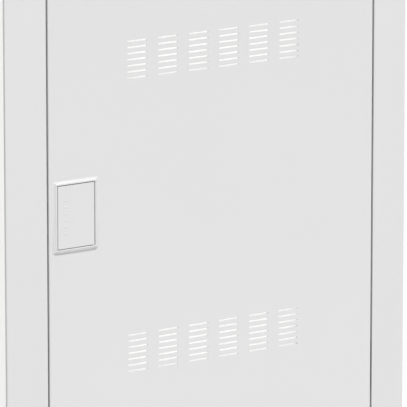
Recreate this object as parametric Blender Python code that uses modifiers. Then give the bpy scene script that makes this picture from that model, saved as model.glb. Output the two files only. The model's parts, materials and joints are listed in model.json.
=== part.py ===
"""A flush wall battery box: a steel recess box with a trim frame, a vented hinged door with a
push-and-pull paddle latch, and a two-block battery bank with its switch, leads and glands inside.

The origin is at the middle of the back wall's outer face. The door faces -Y, X runs to the right
as a person sees the door, and Z is up. All sizes are in metres.
"""

import math

import bmesh
import bpy
from mathutils import Matrix, Vector

# ---- Driving dimensions ------------------------------------------------------------------------
OPENING_WIDTH = 0.390  # the hole in the trim frame that the door closes
OPENING_HEIGHT = 0.614
FRAME_FACE = 0.0434  # width of the trim frame's face, all round
DEPTH = 0.150  # from the door's face to the back of the recess box
SHEET = 0.0015  # sheet steel
DOOR_GAP = 0.0019  # gap between door and frame
REST_GAP = 0.0003  # gap left between two pieces that touch

# ---- Worked out from them ----------------------------------------------------------------------
FRONT = -DEPTH  # Y of the door's face
FRAME_DROP = 0.0058  # the frame's face slopes back this far to its outer edge
FRAME_RIM = 0.0027  # and then turns back to the wall
WALL_PLANE = FRONT + FRAME_DROP + FRAME_RIM
LIP_FRONT = FRONT + 0.019  # the frame turns in behind the door here
LIP_WIDTH = 0.010
HALF_OPENING_X = OPENING_WIDTH / 2
HALF_OPENING_Z = OPENING_HEIGHT / 2
OUTER_X = HALF_OPENING_X + FRAME_FACE
OUTER_Z = HALF_OPENING_Z + FRAME_FACE

SHELL_X = OUTER_X - 0.0204  # half sizes of the recess box
SHELL_Z = OUTER_Z - 0.0204
SHELL_FRONT = LIP_FRONT + SHEET + REST_GAP
SHELL_RETURN = 0.031
STRIKE_FRONT = SHELL_FRONT + SHEET + REST_GAP
INNER_X = SHELL_X - SHEET
INNER_Z = SHELL_Z - SHEET

DOOR_X = HALF_OPENING_X - DOOR_GAP  # half sizes of the door
DOOR_Z = HALF_OPENING_Z - DOOR_GAP
DOOR_FLANGE = 0.012
DOOR_BACK = FRONT + SHEET  # the inner face of the door's sheet

# Vents: two rows, each of six groups of seven slots
SLOT_LENGTH = 0.023
SLOT_HEIGHT = 0.0016
SLOT_PITCH = 0.006
SLOTS_IN_GROUP = 7
GROUP_PITCH = 0.0361
GROUPS_IN_ROW = 6
VENT_ROW_Z = 0.1453  # each row's middle above and below the door's middle

# Hinges: the axis is just inside the door's right edge
HINGE_X = DOOR_X - 0.010
HINGE_Y = FRONT + 0.005
HINGE_Z = 0.200
EYE_RADIUS = 0.0032
PIN_RADIUS = 0.0015
PIN_HOLE = PIN_RADIUS + REST_GAP
ARM_HALF = 0.008  # half height of the frame's eye, with the door's eyes above and below it
EYE_END = 0.018

# Latch
LATCH_X = -0.1628
BEZEL_WIDTH = 0.0535
BEZEL_HEIGHT = 0.0726
BEZEL_PROUD = 0.0020
BEZEL_SLOPE = 0.0029
SLEEVE_X = 0.0218  # half sizes of the hole that the paddle fills
SLEEVE_Z = 0.0317
SLEEVE_WALL = 0.0012
SLEEVE_BACK = FRONT + 0.012
PADDLE_GAP = 0.0008
PADDLE_FRONT = FRONT - 0.0017
PADDLE_THICK = 0.004
PADDLE_AXIS_X = LATCH_X - SLEEVE_X + PADDLE_GAP + 0.0067
PADDLE_AXIS_Y = PADDLE_FRONT + 0.0026
PADDLE_PIN = 0.0008
SPRING_LOW = 0.012  # the paddle's spring stands in a window of its hub
SPRING_HIGH = 0.022

# Battery blocks, side by side in height
BLOCK_LENGTH = 0.277
BLOCK_DEPTH = 0.106
CASE_HEIGHT = 0.188
LID_HEIGHT = 0.022
BLOCK_X = -0.045
BLOCK_Y = -0.062
TRAY_FLOOR = -INNER_Z + REST_GAP
SHELF_FLOOR = -0.070
LEDGE_DEPTH = 0.036  # the terminals stand on a low ledge along the lid's front
LEDGE_DROP = 0.010
TERMINAL_X = 0.115  # from the block's middle
TERMINAL_Y = -0.095
TERMINAL_HEIGHT = 0.006
LEAD_RADIUS = 0.004
LEDGE_LEAD_Y = -0.1085  # leads pass in front of the terminals here
LINK_COLUMN = (0.118, -0.099)  # X and Y of the two leads that go up past the shelf
NEGATIVE_COLUMN = (0.135, -0.106)
NOTCH_HALF = 0.0065
OUTPUT_RADIUS = 0.0025

# Switchgear
RAIL_Z = 0.235
RAIL_FRONT = -0.052
SWITCH_X = -0.018
SWITCH_HALF = 0.018
SWITCH_NOSE = -0.118
TOGGLE_Y = -0.110
SWITCH_LEAD_Y = -0.080
TERMINAL_BLOCK_XS = (0.0105, 0.0225, 0.0345)
TERMINAL_BLOCK_WIDTH = 0.0117
BLOCK_TERMINAL_HALF = 0.030
GLAND_X = 0.120
GLAND_Y = -0.075


# ---- Tools -------------------------------------------------------------------------------------
def clear_scene():
    for thing in list(bpy.data.objects):
        bpy.data.objects.remove(thing)


def make_collection(name):
    collection = bpy.data.collections.new(name)
    bpy.context.scene.collection.children.link(collection)
    return collection


def make_material(name, colour, roughness, metallic=0.0):
    material = bpy.data.materials.new(name)
    material.use_nodes = True
    shader = material.node_tree.nodes["Principled BSDF"]
    shader.inputs["Base Color"].default_value = (*colour, 1.0)
    shader.inputs["Roughness"].default_value = roughness
    shader.inputs["Metallic"].default_value = metallic
    material.diffuse_color = (*colour, 1.0)
    return material


def add_object(name, mesh, material):
    """A new object in the model's collection. With no material it is a tool that cuts or joins."""
    thing = bpy.data.objects.new(name, mesh)
    if material is None:
        TOOLS.objects.link(thing)
        thing.hide_render = True
        thing.display_type = "WIRE"
    else:
        MODEL.objects.link(thing)
        thing.data.materials.append(material)
    return thing


def mesh_from(name, bm):
    bmesh.ops.recalc_face_normals(bm, faces=bm.faces)
    mesh = bpy.data.meshes.new(name)
    bm.to_mesh(mesh)
    bm.free()
    return mesh


def box(name, low, high, material=None):
    """A box from its lowest corner to its highest, with its origin at its middle."""
    low, high = Vector(low), Vector(high)
    bm = bmesh.new()
    bmesh.ops.create_cube(bm, size=1.0)
    bmesh.ops.scale(bm, vec=high - low, verts=bm.verts)
    thing = add_object(name, mesh_from(name, bm), material)
    thing.location = (low + high) / 2
    return thing


def cylinder(name, radius, start, end, material=None, segments=24, end_radius=None):
    """A round bar, or a cone if end_radius is given, from start to end, with its origin at start."""
    start, end = Vector(start), Vector(end)
    bm = bmesh.new()
    length = (end - start).length
    bmesh.ops.create_cone(
        bm,
        cap_ends=True,
        segments=segments,
        radius1=radius,
        radius2=radius if end_radius is None else end_radius,
        depth=length,
        matrix=Matrix.Translation((0, 0, length / 2)),
    )
    thing = add_object(name, mesh_from(name, bm), material)
    thing.location = start
    thing.rotation_euler = (end - start).to_track_quat("Z", "Y").to_euler()
    if material is not None:
        smooth(thing)
    return thing


def smooth(thing):
    thing.data.shade_smooth()
    thing.data.set_sharp_from_angle(angle=math.radians(35))


def nested_rectangles(name, sections, material=None, ring=False):
    """A solid through a chain of rectangles (half width, half height, Y), all centred on one line.

    The first and last rectangles are filled, or joined to each other if ring is true.
    """
    bm = bmesh.new()
    corners = [bm.verts.new((sx, 0, sz)) for sx, sz in ((-1, -1), (1, -1), (1, 1), (-1, 1))]
    edges = [bm.edges.new((corners[i - 1], corners[i])) for i in range(4)]
    first_edges = edges
    move_corners(corners, sections[0])
    for section in sections[1:] + (sections[:1] if ring else []):
        made = bmesh.ops.extrude_edge_only(bm, edges=edges)["geom"]
        corners = [part for part in made if isinstance(part, bmesh.types.BMVert)]
        edges = [part for part in made if isinstance(part, bmesh.types.BMEdge)]
        edges = [edge for edge in edges if all(vert in corners for vert in edge.verts)]
        move_corners(corners, section)
    if ring:
        bmesh.ops.remove_doubles(bm, verts=bm.verts, dist=0.00001)
    else:
        bmesh.ops.edgeloop_fill(bm, edges=first_edges)
        bmesh.ops.edgeloop_fill(bm, edges=edges)
    return add_object(name, mesh_from(name, bm), material)


def move_corners(corners, section):
    half_x, half_z, y = section
    for corner in corners:
        corner.co = (math.copysign(half_x, corner.co.x), y, math.copysign(half_z, corner.co.z))


PLANES = {  # which way an outline's own axes point, and last the way it is thickened
    "XY": Matrix.Identity(4),
    "YZ": Matrix(((0, 0, 1, 0), (1, 0, 0, 0), (0, 1, 0, 0), (0, 0, 0, 1))),
}


def outline(name, points, middle, thickness, plane, material=None, holes=()):
    """A flat outline, thickened both ways about a plane, as a mesh object."""
    curve = bpy.data.curves.new(name, "CURVE")
    curve.dimensions = "2D"
    curve.fill_mode = "BOTH"
    curve.extrude = thickness / 2
    for ring in (points, *holes):
        spline = curve.splines.new("POLY")
        spline.points.add(len(ring) - 1)
        for point, (u, v) in zip(spline.points, ring):
            point.co = (u, v, 0, 1)
        spline.use_cyclic_u = True
    offset = PLANES[plane].to_3x3() @ Vector((0, 0, middle))
    return as_mesh(name, curve, Matrix.Translation(offset) @ PLANES[plane], material)


def as_mesh(name, curve, matrix, material):
    """The mesh that a curve makes, with its caps welded on."""
    guide = bpy.data.objects.new(name + "_curve", curve)
    TOOLS.objects.link(guide)
    bpy.context.view_layer.update()
    evaluated = guide.evaluated_get(bpy.context.evaluated_depsgraph_get())
    mesh = bpy.data.meshes.new_from_object(evaluated)
    bpy.data.objects.remove(guide)
    bm = bmesh.new()
    bm.from_mesh(mesh)
    bmesh.ops.remove_doubles(bm, verts=bm.verts, dist=0.00001)
    bmesh.ops.recalc_face_normals(bm, faces=bm.faces)
    bm.to_mesh(mesh)
    bm.free()
    mesh.name = name
    thing = add_object(name, mesh, material)
    thing.matrix_world = matrix
    return thing


def arc(centre, radius, first, last, steps):
    """Points on an arc, from one angle to another, in degrees."""
    angles = [math.radians(first + (last - first) * i / steps) for i in range(steps + 1)]
    return [(centre[0] + radius * math.cos(a), centre[1] + radius * math.sin(a)) for a in angles]


def combine(thing, other, operation):
    modifier = thing.modifiers.new(other.name, "BOOLEAN")
    modifier.object = other
    modifier.operation = operation
    return thing


def cut(thing, *others):
    for other in others:
        combine(thing, other, "DIFFERENCE")
    return thing


def join(thing, *others):
    for other in others:
        combine(thing, other, "UNION")
    return thing


def round_edges(thing, width, segments=2):
    modifier = thing.modifiers.new("rounded", "BEVEL")
    modifier.width = width
    modifier.segments = segments
    modifier.limit_method = "ANGLE"
    modifier.angle_limit = math.radians(40)
    return thing


def smooth_route(points, steps):
    """A smooth curve through the points, as a list of points."""
    ends = [points[0], *points, points[-1]]
    knots = [Vector(p) for p in ends]
    route = []
    for before, start, end, after in zip(knots, knots[1:], knots[2:], knots[3:]):
        for i in range(steps):
            t = i / steps
            route.append(
                0.5
                * (
                    2 * start
                    + (end - before) * t
                    + (2 * before - 5 * start + 4 * end - after) * t**2
                    + (3 * start - before - 3 * end + after) * t**3
                )
            )
    route.append(knots[-1])
    return route


def lead(name, points, material):
    """A battery lead through the points, straight where it meets its lug or terminal."""
    route = [points[0], *smooth_route(points[1:-1], 4), points[-1]]
    return tube(name, route, LEAD_RADIUS, material)


def tube(name, points, radius, material):
    """A round wire or lead through the points."""
    curve = bpy.data.curves.new(name, "CURVE")
    curve.dimensions = "3D"
    curve.bevel_depth = radius
    curve.bevel_resolution = 2
    curve.use_fill_caps = True
    spline = curve.splines.new("POLY")
    spline.points.add(len(points) - 1)
    for point, place in zip(spline.points, points):
        point.co = (*place, 1)
    thing = as_mesh(name, curve, Matrix.Identity(4), material)
    smooth(thing)
    return thing


# ---- The recess box and its trim frame ---------------------------------------------------------
def build_shell():
    """The steel box that goes into the wall, with a return at its front and two cable holes."""
    shell = nested_rectangles(
        "enclosure_shell",
        [
            (SHELL_X, SHELL_Z, 0),
            (SHELL_X, SHELL_Z, SHELL_FRONT),
            (SHELL_X - SHELL_RETURN, SHELL_Z - SHELL_RETURN, SHELL_FRONT),
            (SHELL_X - SHELL_RETURN, SHELL_Z - SHELL_RETURN, SHELL_FRONT + SHEET),
            (INNER_X, INNER_Z, SHELL_FRONT + SHEET),
            (INNER_X, INNER_Z, -SHEET),
        ],
        PAINT_INSIDE,
    )
    hole = cylinder(
        "gland_hole", 0.0128, (GLAND_X, GLAND_Y, INNER_Z - 0.01), (GLAND_X, GLAND_Y, SHELL_Z + 0.01)
    )
    cut(shell, hole, *screw_holes())


def build_frame():
    """The trim frame: a rim on the wall, a sloped face, a return, and a lip behind the door."""
    section = [  # distance out from the opening, and Y
        (-LIP_WIDTH, LIP_FRONT),
        (0, LIP_FRONT),
        (0, FRONT),
        (FRAME_FACE, FRONT + FRAME_DROP),
        (FRAME_FACE, WALL_PLANE),
        (FRAME_FACE - SHEET, WALL_PLANE),
        (FRAME_FACE - SHEET, FRONT + FRAME_DROP + SHEET),
        (SHEET, FRONT + 1.2 * SHEET),
        (SHEET, LIP_FRONT + SHEET),
        (-LIP_WIDTH, LIP_FRONT + SHEET),
    ]
    loops = [(HALF_OPENING_X + out, HALF_OPENING_Z + out, y) for out, y in section]
    frame = nested_rectangles("wall_frame", loops, PAINT_OUTSIDE, ring=True)
    cut(frame, *screw_holes())


SCREW_PLACES = [(sx * 0.150, sz * (HALF_OPENING_Z - LIP_WIDTH / 2)) for sz in (-1, 1) for sx in (-1, 1)]


def screw_holes():
    return [
        cylinder("hole", 0.0023, (x, LIP_FRONT - 0.003, z), (x, LIP_FRONT + 0.008, z), segments=12)
        for x, z in SCREW_PLACES
    ]


def build_frame_screws():
    """The four screws that hold the trim frame to the box, through the lip at top and bottom."""
    for number, (x, z) in enumerate(SCREW_PLACES, start=1):
        head_back = LIP_FRONT - REST_GAP
        screw = cylinder(
            f"frame_screw_{number}", 0.0034, (x, head_back, z), (x, head_back - 0.002, z), STEEL, 16
        )
        shank_start, shank_end = (x, head_back - 0.001, z), (x, head_back + 0.009, z)
        shank = cylinder("shank", 0.0019, shank_start, shank_end, segments=12)
        slot_low = (x - 0.0022, head_back - 0.004, z - 0.0004)
        slot_high = (x + 0.0022, head_back - 0.0012, z + 0.0004)
        slot = box("driver_slot", slot_low, slot_high)
        cut(join(screw, shank), slot)


def build_strike():
    """The small angle behind the box's return that the latch's nose catches on."""
    edge = -SHELL_X + SHELL_RETURN
    points = [
        (edge - 0.016, STRIKE_FRONT),
        (edge - 0.0004, STRIKE_FRONT),
        (edge - 0.0004, STRIKE_FRONT + SHEET),
        (edge - 0.0145, STRIKE_FRONT + SHEET),
        (edge - 0.0145, STRIKE_FRONT + 0.008),
        (edge - 0.016, STRIKE_FRONT + 0.008),
    ]
    outline("strike_plate", points, 0, 0.040, "XY", STEEL)


def build_buffers():
    """Rubber buttons on the lip that the closed door rests against."""
    for name, z in (("door_buffer_upper", 0.250), ("door_buffer_lower", -0.250)):
        x = -HALF_OPENING_X + 0.0040
        foot = LIP_FRONT - REST_GAP
        top = FRONT + DOOR_FLANGE + REST_GAP
        cylinder(name, 0.0036, (x, foot, z), (x, top, z), RUBBER, 20, end_radius=0.0026)


# ---- The door ----------------------------------------------------------------------------------
def vent_slots():
    """One tool for all the slots of both vent rows."""
    bm = bmesh.new()
    for row_z in (VENT_ROW_Z, -VENT_ROW_Z):
        for group in range(GROUPS_IN_ROW):
            x = (group - (GROUPS_IN_ROW - 1) / 2) * GROUP_PITCH
            for slot in range(SLOTS_IN_GROUP):
                z = row_z + (slot - (SLOTS_IN_GROUP - 1) / 2) * SLOT_PITCH
                place = Matrix.LocRotScale(
                    (x, FRONT, z), None, (SLOT_LENGTH, 4 * SHEET, SLOT_HEIGHT)
                )
                bmesh.ops.create_cube(bm, size=1.0, matrix=place)
    return add_object("vent_slots", mesh_from("vent_slots", bm), None)


def build_door():
    """The door's sheet with its turned edges, slots, latch hole, and a notch at each hinge."""
    inner_x = DOOR_X - SHEET
    inner_z = DOOR_Z - SHEET
    flange_end = FRONT + DOOR_FLANGE
    door = nested_rectangles(
        "door_leaf",
        [
            (DOOR_X, DOOR_Z, FRONT),
            (DOOR_X, DOOR_Z, flange_end),
            (inner_x, inner_z, flange_end),
            (inner_x, inner_z, DOOR_BACK),
        ],
        PAINT_OUTSIDE,
    )
    hole_x = SLEEVE_X + SLEEVE_WALL + REST_GAP
    hole_z = SLEEVE_Z + SLEEVE_WALL + REST_GAP
    latch_hole = box(
        "latch_hole",
        (LATCH_X - hole_x, FRONT - 0.005, -hole_z),
        (LATCH_X + hole_x, FRONT + 0.005, hole_z),
    )
    cut(door, vent_slots(), latch_hole)
    for z in (-HINGE_Z, HINGE_Z):
        notch = box(
            "hinge_notch",
            (inner_x - 0.001, DOOR_BACK + 0.0002, z - 0.024),
            (DOOR_X + 0.001, flange_end + 0.001, z + 0.024),
        )
        cut(door, notch)
    return door


def build_stiffeners():
    """Two hat-shaped bars welded behind the door's sheet."""
    top = DOOR_BACK + REST_GAP
    for name, x in (("door_stiffener_left", -0.1225), ("door_stiffener_right", 0.1225)):
        points = [
            (x - 0.0095, top),
            (x - 0.0095, top + 0.001),
            (x - 0.006, top + 0.001),
            (x - 0.006, top + 0.008),
            (x + 0.006, top + 0.008),
            (x + 0.006, top + 0.001),
            (x + 0.0095, top + 0.001),
            (x + 0.0095, top),
            (x + 0.005, top),
            (x + 0.005, top + 0.007),
            (x - 0.005, top + 0.007),
            (x - 0.005, top),
        ]
        outline(name, points, 0, 0.540, "XY", PAINT_INSIDE)


def build_filters():
    """A filter mat behind each vent row, in a frame with a grid of bars."""
    half_x = 0.5 * GROUPS_IN_ROW * GROUP_PITCH
    half_z = 0.5 * SLOTS_IN_GROUP * SLOT_PITCH + 0.006
    front = DOOR_BACK + 0.0032
    for name, z in (("upper", VENT_ROW_Z), ("lower", -VENT_ROW_Z)):
        box(
            f"{name}_filter_mat",
            (-half_x + 0.002, front, z - half_z + 0.002),
            (half_x - 0.002, front + 0.0035, z + half_z - 0.002),
            FILTER,
        )
        frame = box(
            f"{name}_filter_frame",
            (-half_x - 0.003, DOOR_BACK + REST_GAP, z - half_z - 0.003),
            (half_x + 0.003, front + 0.0060, z + half_z + 0.003),
            GREY_PLASTIC,
        )
        bay = box(
            "filter_bay",
            (-half_x + 0.0015, DOOR_BACK - 0.003, z - half_z + 0.0015),
            (half_x - 0.0015, front + 0.0040, z + half_z - 0.0015),
        )
        cut(frame, bay)
        for window in range(GROUPS_IN_ROW):
            x = (window - (GROUPS_IN_ROW - 1) / 2) * GROUP_PITCH
            cut(
                frame,
                box(
                    "filter_window",
                    (x - 0.015, front, z - half_z + 0.006),
                    (x + 0.015, front + 0.010, z + half_z - 0.006),
                ),
            )


def build_hinges():
    """Two concealed hinges: an arm on the frame, two eyes on the door, and a headed pin."""
    for name, z in (("upper", HINGE_Z), ("lower", -HINGE_Z)):
        low, high = z - ARM_HALF, z + ARM_HALF
        foot_front = LIP_FRONT - REST_GAP - 0.002
        foot = box(
            f"{name}_hinge_arm",
            (HINGE_X - 0.0035, foot_front, z - 0.020),
            (HALF_OPENING_X - 0.0005, foot_front + 0.002, z + 0.020),
            STEEL,
        )
        arm = box("arm", (HINGE_X - 0.0032, HINGE_Y, low), (HINGE_X - 0.0005, foot_front + 0.001, high))
        eye = cylinder("eye", EYE_RADIUS, (HINGE_X, HINGE_Y, low), (HINGE_X, HINGE_Y, high))
        bore = cylinder(
            "bore", PIN_HOLE, (HINGE_X, HINGE_Y, z - 0.03), (HINGE_X, HINGE_Y, z + 0.03)
        )
        cut(join(foot, arm, eye), bore)

        plate = box(
            f"{name}_hinge_plate",
            (HINGE_X - 0.030, DOOR_BACK + REST_GAP, z - EYE_END),
            (HINGE_X - 0.0045, DOOR_BACK + REST_GAP + SHEET, z + EYE_END),
            STEEL,
        )
        for side in (-1, 1):
            inner = z + side * (ARM_HALF + 0.0005)
            outer = z + side * EYE_END
            bottom, top = min(inner, outer), max(inner, outer)
            tab = box(
                "tab",
                (HINGE_X - 0.006, DOOR_BACK + REST_GAP, bottom),
                (HINGE_X, DOOR_BACK + REST_GAP + SHEET, top),
            )
            ends = (HINGE_X, HINGE_Y, bottom), (HINGE_X, HINGE_Y, top)
            knuckle = cylinder("knuckle", EYE_RADIUS, *ends)
            join(plate, tab, knuckle)
        cut(plate, bore)

        pin_foot = (HINGE_X, HINGE_Y, z - EYE_END - 0.002)
        pin = cylinder(
            f"{name}_hinge_pin", PIN_RADIUS, pin_foot, (HINGE_X, HINGE_Y, z + EYE_END + 0.001), STEEL
        )
        head_foot = z + EYE_END + REST_GAP
        head = cylinder(
            "pin_head", 0.0025, (HINGE_X, HINGE_Y, head_foot), (HINGE_X, HINGE_Y, head_foot + 0.0015)
        )
        join(pin, head)


# ---- The latch ---------------------------------------------------------------------------------
def build_bezel():
    """The latch's housing: a sloped rim on the door's face and a sleeve through it."""
    half_x, half_z = BEZEL_WIDTH / 2, BEZEL_HEIGHT / 2
    face = FRONT - BEZEL_PROUD
    seat = FRONT - REST_GAP
    bezel = nested_rectangles(
        "latch_bezel",
        [
            (SLEEVE_X, SLEEVE_Z, face),
            (half_x - BEZEL_SLOPE, half_z - BEZEL_SLOPE, face),
            (half_x, half_z, seat - 0.0002),
            (half_x, half_z, seat),
            (SLEEVE_X + SLEEVE_WALL, SLEEVE_Z + SLEEVE_WALL, seat),
            (SLEEVE_X + SLEEVE_WALL, SLEEVE_Z + SLEEVE_WALL, SLEEVE_BACK),
            (SLEEVE_X, SLEEVE_Z, SLEEVE_BACK),
        ],
        WHITE_PLASTIC,
        ring=True,
    )
    bezel.location = (LATCH_X, 0, 0)
    reach = SLEEVE_Z + 0.0011
    bore = cylinder(
        "pin_bore",
        PADDLE_PIN + REST_GAP,
        (PADDLE_AXIS_X, PADDLE_AXIS_Y, -reach),
        (PADDLE_AXIS_X, PADDLE_AXIS_Y, reach),
        segments=16,
    )
    cut(bezel, bore)


def build_retainer():
    """The clip behind the door that holds the latch's housing."""
    inner_x = SLEEVE_X + SLEEVE_WALL + REST_GAP
    inner_z = SLEEVE_Z + SLEEVE_WALL + REST_GAP
    front = DOOR_BACK + REST_GAP
    retainer = nested_rectangles(
        "latch_retainer",
        [
            (inner_x, inner_z, front),
            (inner_x + 0.0035, inner_z + 0.0035, front),
            (inner_x + 0.0035, inner_z + 0.0035, front + 0.002),
            (inner_x, inner_z, front + 0.002),
        ],
        GREY_PLASTIC,
        ring=True,
    )
    retainer.location = (LATCH_X, 0, 0)


def build_paddle():
    """The paddle: a flat plate with a hub at its left edge, a finger rib and a screw boss behind."""
    half_z = SLEEVE_Z - PADDLE_GAP
    left = LATCH_X - SLEEVE_X + PADDLE_GAP
    right = LATCH_X + SLEEVE_X - PADDLE_GAP
    back = PADDLE_FRONT + PADDLE_THICK
    corner = 0.0003
    points = [
        (left, back),
        (right, back),
        (right, PADDLE_FRONT),
        (left + corner, PADDLE_FRONT),
        (left, PADDLE_FRONT + corner),
    ]
    paddle = outline("latch_paddle", points, 0, 2 * half_z, "XY", WHITE_PLASTIC)
    axis = Vector((PADDLE_AXIS_X, PADDLE_AXIS_Y, 0))
    up = Vector((0, 0, half_z))
    hub = cylinder("hub", 0.00255, axis - 0.999 * up, axis + 0.999 * up, segments=20)
    rib_end = half_z - 0.004
    rib = box("rib", (right - 0.006, back - 0.001, -rib_end), (right - 0.0045, back + 0.003, rib_end))
    bore = cylinder("paddle_bore", PADDLE_PIN + REST_GAP, axis - 2 * up, axis + 2 * up, segments=16)
    window = box(
        "spring_window",
        axis + Vector((-0.0045, -0.00185, SPRING_LOW)),
        axis + Vector((0.0045, 0.0060, SPRING_HIGH)),
    )
    cut(join(paddle, hub, rib), bore, window)


def build_hook():
    """The steel hook on the back of the paddle, whose nose snaps behind the frame's lip."""
    seat = PADDLE_FRONT + PADDLE_THICK + REST_GAP
    arm_left = PADDLE_AXIS_X + 0.0042
    nose_tip = -SHELL_X + SHELL_RETURN - 0.0025
    nose_front = STRIKE_FRONT + SHEET + 0.0005
    nose_back = nose_front + 0.0035
    points = [
        (arm_left, seat),
        (arm_left + 0.014, seat),
        (arm_left + 0.014, seat + SHEET),
        (arm_left + 0.002, seat + SHEET),
        (arm_left + 0.002, nose_back),
        (nose_tip + 0.007, nose_back),
        (nose_tip, nose_front + 0.0010),
        (nose_tip, nose_front),
        (arm_left, nose_front),
    ]
    outline("latch_hook", points, 0, 0.016, "XY", STEEL)


def build_paddle_pin():
    axis = Vector((PADDLE_AXIS_X, PADDLE_AXIS_Y, 0))
    up = Vector((0, 0, SLEEVE_Z + 0.0008))
    cylinder("paddle_pin", PADDLE_PIN, axis - up, axis + up, STEEL, 16)


def build_paddle_spring():
    """The torsion spring that shuts the paddle: turns on the pin, with a leg to each side."""
    wire = 0.00025
    radius = PADDLE_PIN + REST_GAP + wire
    turns, steps = 5, 12
    bottom, top = SPRING_LOW + 0.0015, SPRING_HIGH - 0.0015
    points = []
    count = turns * steps
    for i in range(count + 1):
        angle = math.radians(90) + 2 * math.pi * i / steps
        height = bottom + (top - bottom) * i / count
        points.append(
            (
                PADDLE_AXIS_X + radius * math.cos(angle),
                PADDLE_AXIS_Y + radius * math.sin(angle),
                height,
            )
        )
    first, last = points[0], points[-1]
    lower_leg = (first[0] + 0.0080, first[1] + 0.0014, first[2])
    upper_leg = (last[0] - 0.0060, last[1] + 0.0040, last[2])
    tube("paddle_spring", [lower_leg, *points, upper_leg], wire, STEEL)


# ---- Batteries ---------------------------------------------------------------------------------
def build_tray():
    """The folded tray that the lower block stands in, on the box's floor."""
    base = TRAY_FLOOR
    left = BLOCK_X - BLOCK_LENGTH / 2 - 0.003
    right = BLOCK_X + BLOCK_LENGTH / 2 + 0.003
    front = BLOCK_Y - BLOCK_DEPTH / 2 - 0.003
    back = BLOCK_Y + BLOCK_DEPTH / 2 + 0.002
    tray = box("battery_tray", (left, front, base), (right, back, base + 0.014), PAINT_INSIDE)
    inside = box(
        "tray_inside",
        (left + SHEET, front + SHEET, base + SHEET),
        (right - SHEET, back - SHEET, base + 0.03),
    )
    cut(tray, inside)


def build_shelf():
    """The shelf for the upper block: a floor with a raised front edge and two screwed-on ends."""
    z = SHELF_FLOOR
    front = BLOCK_Y - BLOCK_DEPTH / 2 - 0.003
    back = -SHEET - REST_GAP
    half_x = INNER_X - REST_GAP
    shelf = box("battery_shelf", (-half_x, front, z - SHEET), (half_x, back, z), PAINT_INSIDE)
    edge = box("shelf_edge", (-half_x, front, z - SHEET), (half_x, front + SHEET, z + 0.012))
    left_end = box("shelf_left", (-half_x, front, z - 0.018), (-half_x + SHEET, back, z))
    right_end = box("shelf_right", (half_x - SHEET, front, z - 0.018), (half_x, back, z))
    join(shelf, edge, left_end, right_end)
    for x, y in (LINK_COLUMN, NEGATIVE_COLUMN):
        notch = box(
            "lead_notch",
            (x - NOTCH_HALF, front - 0.001, z - 0.020),
            (x + NOTCH_HALF, y + NOTCH_HALF, z + 0.020),
        )
        cut(shelf, notch)


def build_battery(name, base):
    """One battery block on its floor: case, lid and two bolted terminals."""
    left, right = BLOCK_X - BLOCK_LENGTH / 2, BLOCK_X + BLOCK_LENGTH / 2
    front, back = BLOCK_Y - BLOCK_DEPTH / 2, BLOCK_Y + BLOCK_DEPTH / 2
    case_top = base + CASE_HEIGHT
    lid_foot = case_top + REST_GAP
    lid_top = lid_foot + LID_HEIGHT
    case = box(f"{name}_battery_case", (left, front, base), (right, back, case_top), BATTERY_CASE)
    round_edges(case, 0.003)
    points = [
        (front, lid_foot),
        (back, lid_foot),
        (back, lid_top),
        (front + LEDGE_DEPTH, lid_top),
        (front + LEDGE_DEPTH, lid_top - LEDGE_DROP),
        (front, lid_top - LEDGE_DROP),
    ]
    outline(f"{name}_battery_lid", points, BLOCK_X, BLOCK_LENGTH, "YZ", BATTERY_LID)
    ledge = lid_top - LEDGE_DROP
    for sign, polarity in ((-1, "negative"), (1, "positive")):
        x = BLOCK_X + sign * TERMINAL_X
        foot = ledge + REST_GAP
        seat = foot + TERMINAL_HEIGHT
        terminal = box(
            f"{name}_terminal_{polarity}",
            (x - 0.008, TERMINAL_Y - 0.007, foot),
            (x + 0.008, TERMINAL_Y + 0.007, seat),
            BRASS,
        )
        stud_foot, stud_top = (x, TERMINAL_Y, foot + 0.002), (x, TERMINAL_Y, seat + 0.008)
        stud = cylinder("stud", 0.003, stud_foot, stud_top, segments=16)
        head_z = seat + 0.0020 + 2 * REST_GAP
        head_foot, head_top = (x, TERMINAL_Y, head_z), (x, TERMINAL_Y, head_z + 0.0042)
        head = cylinder("bolt_head", 0.0058, head_foot, head_top, segments=6)
        join(terminal, stud, head)
    return ledge + REST_GAP + TERMINAL_HEIGHT


def build_lug(name, x, seat, towards):
    """A ring lug on a terminal, with its barrel pointing left (-1) or right (+1)."""
    low = seat + REST_GAP
    points = arc((x, TERMINAL_Y), 0.0062, 40 if towards > 0 else 220, 320 if towards > 0 else 500, 14)
    points += [(x + towards * 0.0115, TERMINAL_Y - towards * 0.004)]
    points += [(x + towards * 0.0115, TERMINAL_Y + towards * 0.004)]
    hole = arc((x, TERMINAL_Y), 0.0034, 0, 345, 23)
    lug = outline(name, points, low + 0.001, 0.002, "XY", COPPER, holes=[hole])
    barrel_foot = (x + towards * 0.0100, TERMINAL_Y, low + 0.0032)
    barrel = cylinder(
        "barrel", 0.0032, barrel_foot, (x + towards * 0.0215, TERMINAL_Y, low + 0.0032), segments=16
    )
    join(lug, barrel)
    return Vector((x + towards * (0.0215 + REST_GAP), TERMINAL_Y, low + 0.0032))


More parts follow.
